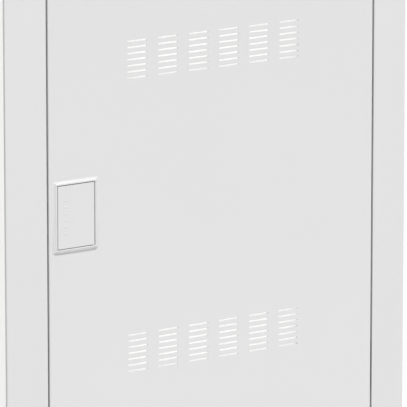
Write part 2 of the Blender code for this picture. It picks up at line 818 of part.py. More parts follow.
def build_bank():
    """Both blocks in series, with their lugs and leads."""
    lower_base = TRAY_FLOOR + SHEET + REST_GAP
    upper_base = SHELF_FLOOR + REST_GAP
    lower_seat = build_battery("lower", lower_base)
    upper_seat = build_battery("upper", upper_base)
    left, right = BLOCK_X - TERMINAL_X, BLOCK_X + TERMINAL_X
    link_start = build_lug("link_lug_lower", right, lower_seat, 1)
    link_end = build_lug("link_lug_upper", left, upper_seat, 1)
    positive_start = build_lug("positive_lug", right, upper_seat, -1)
    negative_start = build_lug("negative_lug", left, lower_seat, 1)
    above_ledge = LEAD_RADIUS + 0.001 - TERMINAL_HEIGHT
    lower_ledge = lower_seat + above_ledge
    upper_ledge = upper_seat + above_ledge
    block_end = BLOCK_X + BLOCK_LENGTH / 2

    link = [
        link_start,
        link_start + Vector((0.006, 0, 0)),
        Vector((LINK_COLUMN[0] - 0.006, -0.097, lower_seat + 0.016)),
        Vector((*LINK_COLUMN, SHELF_FLOOR - 0.010)),
        Vector((*LINK_COLUMN, SHELF_FLOOR + 0.020)),
        Vector((LINK_COLUMN[0] + 0.001, LINK_COLUMN[1], 0.030)),
        Vector((*LINK_COLUMN, upper_ledge - 0.035)),
        Vector((LINK_COLUMN[0] - 0.007, -0.106, upper_ledge - 0.009)),
        Vector((block_end, LEDGE_LEAD_Y, upper_ledge + 0.001)),
        Vector((right, LEDGE_LEAD_Y, upper_ledge)),
        Vector((BLOCK_X, LEDGE_LEAD_Y, upper_ledge)),
        Vector((left + 0.060, LEDGE_LEAD_Y, upper_ledge)),
        link_end + Vector((0.018, -0.006, -0.001)),
        link_end + Vector((0.004, 0, 0)),
        link_end,
    ]
    lead("link_lead", link, BLACK_RUBBER)

    switch_foot = RAIL_Z - 0.0425 - 2 * REST_GAP
    positive_x = SWITCH_X + SWITCH_HALF / 2
    positive = [
        positive_start,
        positive_start - Vector((0.006, 0, 0)),
        Vector((positive_x + 0.016, -0.094, upper_seat + 0.006)),
        Vector((positive_x + 0.004, -0.088, upper_seat + 0.018)),
        Vector((positive_x, -0.081, switch_foot - 0.018)),
        Vector((positive_x, SWITCH_LEAD_Y, switch_foot - 0.008)),
        Vector((positive_x, SWITCH_LEAD_Y, switch_foot)),
    ]
    lead("positive_lead", positive, RED_RUBBER)

    negative_x = SWITCH_X - SWITCH_HALF / 2
    negative = [
        negative_start,
        negative_start + Vector((0.006, 0, 0)),
        negative_start + Vector((0.030, -0.010, -0.001)),
        Vector((BLOCK_X, LEDGE_LEAD_Y, lower_ledge)),
        Vector((right - 0.020, LEDGE_LEAD_Y, lower_ledge)),
        Vector((block_end + 0.010, LEDGE_LEAD_Y - 0.001, lower_ledge + 0.001)),
        Vector((NEGATIVE_COLUMN[0] - 0.006, NEGATIVE_COLUMN[1], lower_ledge + 0.022)),
        Vector((*NEGATIVE_COLUMN, SHELF_FLOOR - 0.004)),
        Vector((*NEGATIVE_COLUMN, SHELF_FLOOR + 0.030)),
        Vector((NEGATIVE_COLUMN[0] + 0.002, NEGATIVE_COLUMN[1], 0.030)),
        Vector((*NEGATIVE_COLUMN, 0.100)),
        Vector((NEGATIVE_COLUMN[0] - 0.012, -0.104, 0.134)),
        Vector((block_end, -0.103, 0.150)),
        Vector(((block_end + positive_x) / 2, -0.105, 0.149)),
        Vector((positive_x + 0.005, -0.105, 0.152)),
        Vector((negative_x + 0.005, -0.095, 0.164)),
        Vector((negative_x, -0.082, switch_foot - 0.014)),
        Vector((negative_x, SWITCH_LEAD_Y, switch_foot - 0.006)),
        Vector((negative_x, SWITCH_LEAD_Y, switch_foot)),
    ]
    lead("negative_lead", negative, BLACK_RUBBER)


def build_output_leads():
    """The two short leads that loop from the switch's top to the outgoing terminals."""
    switch_top = RAIL_Z + 0.0425 + 2 * REST_GAP
    block_top = RAIL_Z + BLOCK_TERMINAL_HALF + 2 * REST_GAP
    loop_foot = switch_top + 0.006
    ways = (
        ("output_lead_positive", SWITCH_X + SWITCH_HALF / 2, TERMINAL_BLOCK_XS[0], RED_RUBBER),
        ("output_lead_negative", SWITCH_X - SWITCH_HALF / 2, TERMINAL_BLOCK_XS[1], BLACK_RUBBER),
    )
    for name, start_x, block_x, material in ways:
        end_x = block_x + TERMINAL_BLOCK_WIDTH / 2
        radius = (end_x - start_x) / 2
        turn = arc((start_x + radius, loop_foot), radius, 180, 0, 12)
        points = [(start_x, SWITCH_LEAD_Y, switch_top)]
        points += [(x, SWITCH_LEAD_Y, z) for x, z in turn]
        points += [(end_x, SWITCH_LEAD_Y, block_top)]
        tube(name, points, OUTPUT_RADIUS, material)


def build_retaining_straps():
    """A bent strap round each block's front and sides, with feet on the back wall."""
    for name, z in (("lower", -0.225), ("upper", 0.035)):
        left = BLOCK_X - BLOCK_LENGTH / 2 - REST_GAP
        right = BLOCK_X + BLOCK_LENGTH / 2 + REST_GAP
        front = BLOCK_Y - BLOCK_DEPTH / 2 - REST_GAP
        foot = -SHEET - REST_GAP
        band = 0.0012
        points = [
            (left, foot),
            (left, front),
            (right, front),
            (right, foot),
            (right + 0.020, foot),
            (right + 0.020, foot - band),
            (right + band, foot - band),
            (right + band, front - band),
            (left - band, front - band),
            (left - band, foot - band),
            (left - 0.0045, foot - band),
            (left - 0.0045, foot),
        ]
        outline(f"{name}_battery_strap", points, z, 0.024, "XY", STEEL)


# ---- Switchgear and glands ---------------------------------------------------------------------
def build_rail():
    """A top-hat mounting rail on two standoffs."""
    z = RAIL_Z
    web = RAIL_FRONT + 0.0075
    points = [
        (RAIL_FRONT, z - 0.0175),
        (RAIL_FRONT, z - 0.0125),
        (web - 0.001, z - 0.0125),
        (web - 0.001, z + 0.0125),
        (RAIL_FRONT, z + 0.0125),
        (RAIL_FRONT, z + 0.0175),
        (RAIL_FRONT + 0.001, z + 0.0175),
        (RAIL_FRONT + 0.001, z + 0.0135),
        (web, z + 0.0135),
        (web, z - 0.0135),
        (RAIL_FRONT + 0.001, z - 0.0135),
        (RAIL_FRONT + 0.001, z - 0.0175),
    ]
    outline("mounting_rail", points, 0, 0.360, "YZ", STEEL)
    for name, x in (("rail_standoff_left", -0.150), ("rail_standoff_right", 0.150)):
        cylinder(name, 0.007, (x, web + REST_GAP, z), (x, -SHEET - REST_GAP, z), STEEL, 6)


def rail_device(name, low_x, high_x, nose, material, height=0.085, nose_height=0.045):
    """A stepped block that clips on the rail."""
    z = RAIL_Z
    back = RAIL_FRONT - REST_GAP
    shoulder = back - 0.044
    half, nose_half = height / 2, nose_height / 2
    points = [
        (back, z - half),
        (back, z + half),
        (shoulder, z + half),
        (shoulder, z + nose_half),
        (nose, z + nose_half),
        (nose, z - nose_half),
        (shoulder, z - nose_half),
        (shoulder, z - half),
    ]
    middle = (low_x + high_x) / 2
    return outline(name, points, middle, high_x - low_x, "YZ", material)


def build_switch():
    """The two-pole battery switch, with one toggle across both poles."""
    low_x, high_x = SWITCH_X - SWITCH_HALF, SWITCH_X + SWITCH_HALF
    body = rail_device("battery_switch", low_x, high_x, SWITCH_NOSE, LIGHT_PLASTIC)
    recess = box(
        "toggle_recess",
        (SWITCH_X - 0.0125, SWITCH_NOSE - 0.002, RAIL_Z - 0.013),
        (SWITCH_X + 0.0125, TOGGLE_Y + 0.007, RAIL_Z + 0.013),
    )
    cut(body, recess)
    for pole in (-1, 1):
        groove_x = SWITCH_X + pole * SWITCH_HALF / 2
        for side in (-1, 1):
            cut(
                body,
                cylinder(
                    "terminal_screw_hole",
                    0.003,
                    (groove_x, -0.105, RAIL_Z + side * 0.032),
                    (groove_x, -0.088, RAIL_Z + side * 0.032),
                    segments=12,
                ),
            )
    hub = cylinder(
        "switch_toggle",
        0.0050,
        (SWITCH_X - 0.0120, TOGGLE_Y, RAIL_Z),
        (SWITCH_X + 0.0120, TOGGLE_Y, RAIL_Z),
        BLACK_PLASTIC,
        20,
    )
    tilt = math.radians(22)
    reach = 0.017
    lever = box("toggle_lever", (-0.0110, -0.5 * reach, -0.0022), (0.0110, 0.5 * reach, 0.0022))
    outwards = Vector((0, -math.cos(tilt), math.sin(tilt)))
    lever.location = Vector((SWITCH_X, TOGGLE_Y, RAIL_Z)) + 0.5 * reach * outwards
    lever.rotation_euler = (-tilt, 0, 0)
    join(hub, lever)


def build_rail_terminals():
    """The outgoing terminals beside the switch: two for the battery leads and one for earth."""
    blocks = (
        ("outgoing_terminal_positive", RED_PLASTIC),
        ("outgoing_terminal_negative", BLUE_PLASTIC),
        ("earth_terminal", GREEN_PLASTIC),
    )
    for x, (name, material) in zip(TERMINAL_BLOCK_XS, blocks):
        end_x = x + TERMINAL_BLOCK_WIDTH
        block = rail_device(name, x, end_x, -0.104, material, 2 * BLOCK_TERMINAL_HALF, 0.028)
        for side in (-1, 1):
            start = (x + TERMINAL_BLOCK_WIDTH / 2, -0.110, RAIL_Z + side * 0.021)
            end = (x + TERMINAL_BLOCK_WIDTH / 2, -0.086, RAIL_Z + side * 0.021)
            cut(block, cylinder("clamp_hole", 0.0028, start, end, segments=12))


def build_gland():
    """The cable gland through the box's top, with its locknut inside."""
    seat = SHELL_Z + REST_GAP

    def on_axis(name, radius, low, high, material=None, segments=24, end_radius=None):
        start, end = (GLAND_X, GLAND_Y, low), (GLAND_X, GLAND_Y, high)
        return cylinder(name, radius, start, end, material, segments, end_radius)

    body = on_axis("cable_gland", 0.0165, seat, seat + 0.006, GREY_PLASTIC, 6)
    thread = on_axis("thread", 0.0125, INNER_Z - 0.009, seat + 0.003)
    dome = on_axis("dome", 0.0145, seat + 0.005, seat + 0.0185, end_radius=0.0100)
    bore = on_axis("cable_bore", 0.0075, INNER_Z - 0.02, seat + 0.03)
    cut(join(body, thread, dome), bore)
    nut_top = INNER_Z - REST_GAP
    nut = on_axis("gland_locknut", 0.0165, nut_top - 0.0055, nut_top, GREY_PLASTIC, 6)
    nut_bore = on_axis("nut_bore", 0.0128, nut_top - 0.02, nut_top + 0.01)
    cut(nut, nut_bore)


# ---- The whole box -----------------------------------------------------------------------------
clear_scene()
MODEL = make_collection("battery_box")
TOOLS = make_collection("tools")
PAINT_OUTSIDE = make_material("light_grey_paint", (0.69, 0.69, 0.69), 0.45)
PAINT_INSIDE = make_material("inside_paint", (0.70, 0.70, 0.69), 0.50)
WHITE_PLASTIC = make_material("white_plastic", (0.69, 0.69, 0.69), 0.40)
LIGHT_PLASTIC = make_material("switch_plastic", (0.72, 0.73, 0.73), 0.40)
GREY_PLASTIC = make_material("grey_plastic", (0.42, 0.43, 0.44), 0.50)
BLACK_PLASTIC = make_material("black_plastic", (0.03, 0.03, 0.03), 0.40)
BLUE_PLASTIC = make_material("blue_plastic", (0.10, 0.22, 0.48), 0.45)
RED_PLASTIC = make_material("red_plastic", (0.52, 0.06, 0.05), 0.45)
GREEN_PLASTIC = make_material("green_plastic", (0.16, 0.42, 0.12), 0.45)
BATTERY_CASE = make_material("battery_case", (0.07, 0.075, 0.08), 0.55)
BATTERY_LID = make_material("battery_lid", (0.10, 0.11, 0.12), 0.50)
STEEL = make_material("zinc_plated_steel", (0.62, 0.63, 0.64), 0.35, 1.0)
BRASS = make_material("brass", (0.72, 0.56, 0.28), 0.35, 1.0)
COPPER = make_material("tinned_copper", (0.74, 0.70, 0.66), 0.35, 1.0)
RUBBER = make_material("rubber", (0.05, 0.05, 0.05), 0.80)
BLACK_RUBBER = make_material("black_lead", (0.03, 0.03, 0.03), 0.55)
RED_RUBBER = make_material("red_lead", (0.50, 0.04, 0.03), 0.55)
FILTER = make_material("filter_mat", (0.86, 0.86, 0.84), 0.95)

build_shell()
build_frame()
build_frame_screws()
build_strike()
build_buffers()
build_door()
build_stiffeners()
build_filters()
build_hinges()
build_bezel()
build_retainer()
build_paddle()
build_hook()
build_paddle_pin()
build_paddle_spring()
build_tray()
build_shelf()
build_bank()
build_retaining_straps()
build_rail()
build_switch()
build_rail_terminals()
build_output_leads()
build_gland()
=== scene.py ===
"""The look of a flush wall battery box, built round its CAD frame.

The sheet-metal skins, the battery blocks and the switchgear get fine meshes of their own. The small
steel and plastic parts keep their CAD solids, with rounded edges and better materials. All sizes are
in metres, in the CAD model's frame: the door faces -Y and Z is up.
"""

import json
import math

import bmesh
import bpy
from mathutils import Matrix, Vector, noise


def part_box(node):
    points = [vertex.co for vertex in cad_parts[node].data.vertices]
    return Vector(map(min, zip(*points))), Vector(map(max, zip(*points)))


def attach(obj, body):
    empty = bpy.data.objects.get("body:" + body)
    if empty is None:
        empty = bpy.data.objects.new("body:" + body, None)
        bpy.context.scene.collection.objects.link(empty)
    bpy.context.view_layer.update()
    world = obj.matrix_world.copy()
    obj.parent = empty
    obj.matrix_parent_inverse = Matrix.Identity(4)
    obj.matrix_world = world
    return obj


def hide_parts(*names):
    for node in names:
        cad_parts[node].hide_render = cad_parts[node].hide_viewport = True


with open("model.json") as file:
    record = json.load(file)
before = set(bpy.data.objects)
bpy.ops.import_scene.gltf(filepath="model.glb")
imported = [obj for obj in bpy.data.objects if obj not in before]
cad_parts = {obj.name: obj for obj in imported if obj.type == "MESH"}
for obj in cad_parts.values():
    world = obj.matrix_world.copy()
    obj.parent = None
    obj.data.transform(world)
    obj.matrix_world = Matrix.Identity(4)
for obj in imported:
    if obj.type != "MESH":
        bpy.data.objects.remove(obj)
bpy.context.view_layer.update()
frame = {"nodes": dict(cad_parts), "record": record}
nodes = frame["nodes"]


# ---- Places read from the frame ----------------------------------------------------------------
def span(node):
    """A CAD node's lowest corner, highest corner and middle."""
    low, high = (Vector(corner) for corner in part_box(node))
    return low, high, (low + high) / 2


DOOR_LOW, DOOR_HIGH, _ = span("door_leaf")
SHELL_LOW, SHELL_HIGH, _ = span("enclosure_shell")
BEZEL_LOW, BEZEL_HIGH, BEZEL_MIDDLE = span("latch_bezel")
PADDLE_LOW, PADDLE_HIGH, PADDLE_MIDDLE = span("latch_paddle")
FRONT = DOOR_LOW.y  # the plane of the door's face

# ---- Sheet metal -------------------------------------------------------------------------------
SHEET = 0.0015
BEND = 0.0012  # outer radius of a folded edge
PAN_FLAT = 0.020  # a pan's profile starts and ends this far inside its edge
DOOR_GAP = 0.0019  # between the door and the trim frame
FRAME_FACE = 0.0434  # width of the trim frame's face
FRAME_DROP = 0.0058  # how far that face slopes back towards its outer edge
FRAME_RIM = 0.0027  # depth of its outer edge
LIP_WIDTH = 0.010  # the frame's lip behind the door's edge
LIP_FRONT = FRONT + 0.019
SHELL_RETURN = 0.031  # the recess box's flange behind the trim frame
SCREW_HOLE = 0.0023  # radius
GLAND_HOLE = 0.0128  # radius
KEYHOLE_X = 0.150
KEYHOLE_Z = 0.265
KNOCKOUT_Y = -0.075
KNOCKOUTS_X = (-0.12, -0.04, 0.04)  # in the top and the bottom
KNOCKOUTS_Z = (-0.16, 0, 0.16)  # in the sides
CLEARANCE = 0.0003  # between two pieces that touch

SLOT_LENGTH = 0.023
SLOT_HEIGHT = 0.0016
SLOT_PITCH = 0.006
SLOTS_IN_GROUP = 7
GROUP_PITCH = 0.0361
GROUPS_IN_ROW = 6
VENT_ROW_Z = 0.1453  # the two vent rows are this far above and below the middle

# ---- Latch -------------------------------------------------------------------------------------
PADDLE_GAP = 0.0008
RIM_WALL = 0.0012  # thickness of the sleeve behind the rim
RIM_SLOPE = 0.0036  # width of the rim's hollow slope
RIM_HOLLOW = 1.7  # 1 would be a straight slope
RIM_RAISED = 0.0008  # the rim is this much wider above the paddle than beside it, and narrower below

# ---- Switchgear --------------------------------------------------------------------------------
SWITCH_CLAMP_Y = -0.0885  # where the switch's clamp screws stand
TERMINAL_CLAMP_Y = -0.0865  # where the outgoing terminals' ones do

# ---- Camera and light, with angles in degrees --------------------------------------------------
CAMERA_AZIMUTH = -35.06
CAMERA_ELEVATION = 12.23
CAMERA_DISTANCE = 5.2
CAMERA_LENS = 470.68
SENSOR = 36.0
CAMERA_TARGET = (-0.0123, FRONT, -0.00697)
KEY_ELEVATION = 64.0
KEY_SPREAD = 12
KEY_STRENGTH = 3.65
SIDE_FILL_AZIMUTH = -105
SIDE_FILL_ELEVATION = 3
SIDE_FILL_SPREAD = 20
SIDE_FILL_STRENGTH = 2.45
VENT_LIGHT = 0.021  # watts behind each vent row
AMBIENT = 0.20
BACKDROP = 1.1  # the surround's strength where the camera sees it
FLOOR_LEVEL = -1.50  # the middle of the box hangs at eye height over it
FLOOR_RADIUS = 25.0


# ---- Materials ---------------------------------------------------------------------------------
def surface(
    name,
    colour,
    roughness,
    metallic=0.0,
    mottle=0.02,
    mottle_scale=9.0,
    spread=0.05,
    grain_scale=700.0,
    grain_depth=0.00002,
    stretch=(1, 1, 1),
    **sockets,
):
    """A procedural surface: a mottled colour, an uneven gloss and a fine relief, all in 3D space."""
    material = bpy.data.materials.new(name)
    material.use_nodes = True
    tree = material.node_tree
    shader = tree.nodes["Principled BSDF"]
    shader.inputs["Metallic"].default_value = metallic
    for socket, value in sockets.items():
        shader.inputs[socket.replace("_", " ")].default_value = value

    place = tree.nodes.new("ShaderNodeTexCoord")
    mapping = tree.nodes.new("ShaderNodeMapping")
    mapping.inputs["Scale"].default_value = stretch
    tree.links.new(place.outputs["Object"], mapping.inputs["Vector"])

    def noise_value(scale, detail):
        node = tree.nodes.new("ShaderNodeTexNoise")
        node.inputs["Scale"].default_value = scale
        node.inputs["Detail"].default_value = detail
        tree.links.new(mapping.outputs["Vector"], node.inputs["Vector"])
        return node.outputs["Fac"]

    def spread_over(value, low, high):
        node = tree.nodes.new("ShaderNodeMapRange")
        node.inputs["From Min"].default_value = 0.3
        node.inputs["From Max"].default_value = 0.7
        node.inputs["To Min"].default_value = low
        node.inputs["To Max"].default_value = high
        tree.links.new(value, node.inputs["Value"])
        return node.outputs["Result"]

    mix = tree.nodes.new("ShaderNodeMix")
    mix.data_type = "RGBA"
    mix.inputs["A"].default_value = (*(c * (1 - mottle) for c in colour), 1)
    mix.inputs["B"].default_value = (*(min(1, c * (1 + mottle)) for c in colour), 1)
    tree.links.new(spread_over(noise_value(mottle_scale, 4), 0, 1), mix.inputs["Factor"])
    tree.links.new(mix.outputs["Result"], shader.inputs["Base Color"])

    gloss = spread_over(noise_value(mottle_scale * 6, 3), roughness - spread, roughness + spread)
    tree.links.new(gloss, shader.inputs["Roughness"])

    bump = tree.nodes.new("ShaderNodeBump")
    bump.inputs["Distance"].default_value = grain_depth
    tree.links.new(noise_value(grain_scale, 2), bump.inputs["Height"])
    tree.links.new(bump.outputs["Normal"], shader.inputs["Normal"])
    return material


def plastic(name, colour, roughness=0.42, grain_depth=0.00003):
    return surface(name, colour, roughness, mottle=0.03, grain_scale=1800, grain_depth=grain_depth)


def metal(name, colour, roughness, stretch=(1, 1, 1)):
    return surface(
        name,
        colour,
        roughness,
        metallic=1.0,
        mottle=0.07,
        mottle_scale=60,
        spread=0.09,
        grain_scale=420,
        grain_depth=0.00002,
        stretch=stretch,
    )


POWDER_COAT = surface("powder_coat", (0.69, 0.69, 0.69), 0.42, mottle=0.004, grain_depth=0.00004)
INSIDE_COAT = surface("inside_coat", (0.70, 0.70, 0.69), 0.48, mottle=0.02, grain_depth=0.00005)
WHITE_PLASTIC = surface(
    "white_plastic", (0.69, 0.69, 0.69), 0.40, mottle=0.004, grain_scale=2600, grain_depth=0.00001
)
FIBRE = surface(
    "filter_fibre",
    (0.93, 0.93, 0.92),
    0.95,
    mottle=0.05,
    mottle_scale=240,
    grain_scale=1500,
    grain_depth=0.0004,
)
BATTERY_CASE = plastic("battery_case", (0.07, 0.075, 0.08), 0.55, 0.00008)
BATTERY_LID = plastic("battery_lid", (0.10, 0.11, 0.12), 0.50, 0.00006)
ZINC = metal("zinc_plate", (0.62, 0.63, 0.64), 0.34)
BRASS = metal("brass", (0.72, 0.56, 0.28), 0.33)
RED_PLASTIC = plastic("red_plastic", (0.52, 0.06, 0.05))
BLUE_PLASTIC = plastic("blue_plastic", (0.10, 0.22, 0.48))
LABEL = plastic("label_film", (0.55, 0.57, 0.58), 0.30, 0.00001)
BLACK_CABLE = plastic("black_cable", (0.03, 0.03, 0.03), 0.50, 0.00002)
RED_CABLE = plastic("red_cable", (0.50, 0.04, 0.03), 0.50, 0.00002)
FINISHES = {  # the record's material slot: its surface, and how far its edges are rounded
    "light_grey_paint": (POWDER_COAT, 0.0004),
    "inside_paint": (INSIDE_COAT, 0.0004),
    "white_plastic": (WHITE_PLASTIC, 0.0002),
    "filter_mat": (FIBRE, 0.0004),
    "grey_plastic": (plastic("grey_plastic", (0.42, 0.43, 0.44), 0.50), 0.0004),
    "switch_plastic": (plastic("switch_plastic", (0.72, 0.73, 0.73), 0.40), 0.0005),
    "black_plastic": (plastic("black_plastic", (0.03, 0.03, 0.03), 0.40), 0.0005),
    "blue_plastic": (BLUE_PLASTIC, 0.0004),
    "red_plastic": (RED_PLASTIC, 0.0004),
    "green_plastic": (plastic("green_plastic", (0.16, 0.42, 0.12)), 0.0004),
    "battery_case": (BATTERY_CASE, 0.0010),
    "battery_lid": (BATTERY_LID, 0.0008),
    "zinc_steel": (ZINC, 0.0002),
    "brass": (BRASS, 0.0003),
    "tinned_copper": (metal("tinned_copper", (0.74, 0.70, 0.66), 0.36), 0.0002),
    "rubber": (surface("rubber", (0.05, 0.05, 0.05), 0.80, mottle=0.08, mottle_scale=90), 0.0003),
    "black_lead": (BLACK_CABLE, 0),
    "red_lead": (RED_CABLE, 0),
}


# ---- Mesh tools --------------------------------------------------------------------------------
def add_piece(name, mesh, material, body, *replaced, slot=None, rounding=None):
    """A finished mesh as a piece on a body, standing for the CAD nodes it replaces.

    With a rounding, modifiers round its edges by that much.
    """
    piece = bpy.data.objects.new(name, mesh)
    bpy.context.scene.collection.objects.link(piece)
    mesh.materials.append(material)
    if rounding:
        soften(piece, rounding)
    else:
        level_normals(piece)
    return ride(piece, body, *replaced, slot=slot)


def level_normals(piece):
    """Lets the large flat faces set the shading, so that a rounded edge doesn't bend their light."""
    modifier = piece.modifiers.new("level_normals", "WEIGHTED_NORMAL")
    modifier.keep_sharp = True


def ride(piece, body, *replaced, slot=None):
    """Fixes a piece to its body, and hides the CAD nodes it replaces. Its slot is not used."""
    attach(piece, body)
    if replaced:
        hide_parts(*replaced)
    return piece


def mesh_from(name, bm, sharp=35):
    """A mesh with its faces turned outwards, shaded smooth up to an angle."""
    bmesh.ops.recalc_face_normals(bm, faces=bm.faces)
    mesh = bpy.data.meshes.new(name)
    bm.to_mesh(mesh)
    bm.free()
    mesh.shade_smooth()
    mesh.set_sharp_from_angle(angle=math.radians(sharp))
    return mesh


def fillet(points, steps=4):
    """A chain of (u, v, radius) corners as a chain of (u, v) points, with each corner rounded."""
    rounded = []
    for i, (u, v, radius) in enumerate(points):
        corner = Vector((u, v))
        if radius == 0 or i in (0, len(points) - 1):
            rounded.append(tuple(corner))
            continue
        before = (Vector(points[i - 1][:2]) - corner).normalized()
        after = (Vector(points[i + 1][:2]) - corner).normalized()
        half = before.angle(after) / 2
        middle = corner + (before + after).normalized() * radius / math.sin(half)
        start = corner + before * radius / math.tan(half) - middle
        turn = start.angle_signed(corner + after * radius / math.tan(half) - middle)
        for step in range(steps + 1):
            angle = -turn * step / steps
            arm = Matrix.Rotation(angle, 2) @ start
            rounded.append(tuple(middle + arm))
    return rounded


def rounded_rectangle(half_x, half_z, radius, steps):
    """Points round a rectangle, with steps segments to each corner."""
    if radius <= 0 or steps == 0:
        radius, steps = 0, 0
    points = []
    for quarter, (sx, sz) in enumerate(((1, 1), (-1, 1), (-1, -1), (1, -1))):
        for step in range(steps + 1):
            angle = math.pi / 2 * (quarter + step / max(steps, 1))
            x = sx * (half_x - radius) + radius * math.cos(angle)
            z = sz * (half_z - radius) + radius * math.sin(angle)
            points.append((x, z))
    return points


def loft(bm, rings, closed=False):
    """Joins rings of points with quads, and caps the ends or joins the last ring to the first."""
    loops = [[bm.verts.new(point) for point in ring] for ring in rings]
    pairs = list(zip(loops, loops[1:]))
    if closed:
        pairs.append((loops[-1], loops[0]))
    for first, second in pairs:
        for i in range(len(first)):
            bm.faces.new((first[i - 1], first[i], second[i], second[i - 1]))
    if not closed:
        bm.faces.new(loops[0])
        bm.faces.new(loops[-1])
    return loops


def folded(name, half_x, half_v, profile, corner=0, steps=3, closed=False, centre=(0, 0), up=False):
    """A profile of (distance out, level) carried round a rectangle.

    The levels are along Y and the rectangle stands up, or along Z and it lies flat if up is true.
    """
    bm = bmesh.new()
    rings = []
    for out, level in profile:
        radius = max(corner + out, 0.0003) if corner else 0
        ring = rounded_rectangle(half_x + out, half_v + out, radius, steps if corner else 0)
        ring = [(centre[0] + x, centre[1] + v) for x, v in ring]
        rings.append([(x, v, level) if up else (x, level, v) for x, v in ring])
    loft(bm, rings, closed)
    return mesh_from(name, bm)


def cut(name, mesh, cutter):
    """The mesh less the cutter's shape."""
    target = bpy.data.objects.new(name, mesh)
    tool = bpy.data.objects.new(name + "_tool", cutter)
    for thing in (target, tool):
        bpy.context.scene.collection.objects.link(thing)
    modifier = target.modifiers.new("cut", "BOOLEAN")
    modifier.object = tool
    modifier.use_self = True
    bpy.context.view_layer.update()
    evaluated = target.evaluated_get(bpy.context.evaluated_depsgraph_get())
    result = bpy.data.meshes.new_from_object(evaluated)
    for thing in (target, tool):
        bpy.data.objects.remove(thing)
    result.name = name
    result.shade_smooth()
    result.set_sharp_from_angle(angle=math.radians(35))
    return result


def add_block(bm, low, high):
    """A rectangular block between two corners."""
    low, high = Vector(low), Vector(high)
    place = Matrix.LocRotScale((low + high) / 2, None, high - low)
    bmesh.ops.create_cube(bm, size=1.0, matrix=place)


def add_stadium(bm, x, z, length, height, low_y, high_y, steps=5):
    """A bar along Y with round ends, to cut a slot with."""
    outline = rounded_rectangle(length / 2, height / 2, min(length, height) * 0.49, steps)
    loft(bm, [[(x + u, y, z + v) for u, v in outline] for y in (low_y, high_y)])


def lathe(bm, place, axis, profile, hexagonal=0, segments=24, closed=False):
    """A profile of (radius, height) turned round an axis. Its last rings can be hexagonal."""
    turn = Vector(axis).to_track_quat("Z", "Y").to_matrix()
    rings = []
    for i, (radius, height) in enumerate(profile):
        ring = []
        for step in range(segments):
            angle = 2 * math.pi * step / segments
            reach = radius
            if i >= len(profile) - hexagonal:
                reach = radius * math.cos(math.pi / 6) / math.cos(angle % (math.pi / 3) - math.pi / 6)
            corner = Vector((reach * math.cos(angle), reach * math.sin(angle), height))
            ring.append(Vector(place) + turn @ corner)
        rings.append(ring)
    loft(bm, rings, closed)


def add_screw(bm, place, axis, radius):
    """A screw's domed head with a hexagon socket, standing on a surface."""
    heights = ((1, -0.05), (1, 0.30), (0.92, 0.48), (0.75, 0.60), (0.45, 0.66), (0.43, 0.25))
    lathe(bm, place, axis, [(r * radius, h * radius) for r, h in heights], hexagonal=2)


def add_rivet(bm, place, axis, radius):
    """A rivet's low dome, standing on a surface."""
    heights = ((1, -0.05), (0.97, 0.12), (0.80, 0.34), (0.50, 0.50), (0.15, 0.55))
    lathe(bm, place, axis, [(r * radius, h * radius) for r, h in heights], segments=16)


def add_fixings(name, add, places, radius, body, material=ZINC, slot="zinc_steel"):
    """One piece of equal screws or rivets, at (place, axis) pairs."""
    bm = bmesh.new()
    for place, axis in places:
        add(bm, place, axis, radius)
    add_piece(name, mesh_from(name, bm), material, body, slot=slot)


def smooth_by_angle(limit=35):
    """A node group that shades a mesh smooth, except over edges sharper than the limit."""
    group = bpy.data.node_groups.new("smooth_by_angle", "GeometryNodeTree")
    for way in ("INPUT", "OUTPUT"):
        group.interface.new_socket("Geometry", in_out=way, socket_type="NodeSocketGeometry")
    start = group.nodes.new("NodeGroupInput")
    end = group.nodes.new("NodeGroupOutput")
    angle = group.nodes.new("GeometryNodeInputMeshEdgeAngle")
    compare = group.nodes.new("FunctionNodeCompare")
    compare.operation = "LESS_EQUAL"
    compare.inputs["B"].default_value = math.radians(limit)
    faces = group.nodes.new("GeometryNodeSetShadeSmooth")
    edges = group.nodes.new("GeometryNodeSetShadeSmooth")
    edges.domain = "EDGE"
    group.links.new(angle.outputs["Unsigned Angle"], compare.inputs["A"])
    group.links.new(start.outputs["Geometry"], faces.inputs["Geometry"])
    group.links.new(faces.outputs["Geometry"], edges.inputs["Geometry"])
    group.links.new(compare.outputs["Result"], edges.inputs["Shade Smooth"])
    group.links.new(edges.outputs["Geometry"], end.inputs["Geometry"])
    return group


SHADING = smooth_by_angle()


def soften(thing, width):
    """Welds a solid, rounds its edges and shades it, all with modifiers.

    With no width it is a lead, which is rounded all over.
    """
    thing.modifiers.new("weld", "WELD").merge_threshold = 0.00001
    if width:
        bevel = thing.modifiers.new("rounded", "BEVEL")
        bevel.width = width
        bevel.segments = 2
        bevel.limit_method = "ANGLE"
        bevel.angle_limit = math.radians(40)
    else:
        smooth = thing.modifiers.new("rounded", "SUBSURF")
        smooth.levels = smooth.render_levels = 2
    thing.modifiers.new("shading", "NODES").node_group = SHADING
    level_normals(thing)


